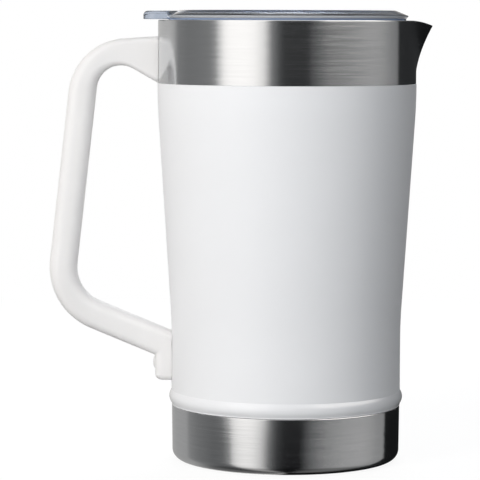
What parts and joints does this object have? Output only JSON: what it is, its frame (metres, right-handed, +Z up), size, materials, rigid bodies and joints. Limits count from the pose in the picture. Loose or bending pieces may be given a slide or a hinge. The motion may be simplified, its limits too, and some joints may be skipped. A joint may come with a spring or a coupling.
{
  "type": "insulated jug",
  "caption": "Tapered double-walled steel jug with a formed pouring spout, a moulded side handle and a clear press-in lid with a thumb tab.",
  "frame": {"origin": "on the vessel's axis, in the plane of the ring that the jug stands on", "axes": "+Z up along the vessel's axis, +X towards the spout, the handle on the -X side"},
  "size_m": [0.1985, 0.1342, 0.2338],
  "materials": {
    "brushed_collar": "brushed round the axis",
    "white_coat": "satin powder coat",
    "brushed_base": "brushed round the axis",
    "liner_steel": "electropolished satin",
    "inner_steel": "mill finish",
    "seal_solder": "fired sealing glass",
    "getter": "pressed powder",
    "foil": "bright copper foil",
    "handle_plastic": "fine satin moulding",
    "clear_lid": "clear with a cool tint",
    "gasket": "translucent silicone"
  },
  "bodies": {
    "jug": {"rim_collar": "brushed_collar", "body_shell": "white_coat", "base_cup": "brushed_base", "mouth_ring": "liner_steel", "inner_liner": "liner_steel", "liner_floor": "liner_steel", "vacuum_floor": "inner_steel", "seal_bead": "seal_solder", "getter_pill": "getter", "getter_clip": "inner_steel", "reflector_foil": "foil", "handle_grip": "handle_plastic", "upper_hook": "inner_steel", "lower_boss": "inner_steel", "handle_screw": "inner_steel", "screw_plug": "handle_plastic"},
    "lid": {"lid_cap": "clear_lid", "lid_gasket": "gasket"}
  },
  "joints": [
    {"name": "lid_lift", "type": "slide", "parent": "jug", "child": "lid", "axis": [0, 0, 1], "range_m": [0, 0.06]}
  ]
}
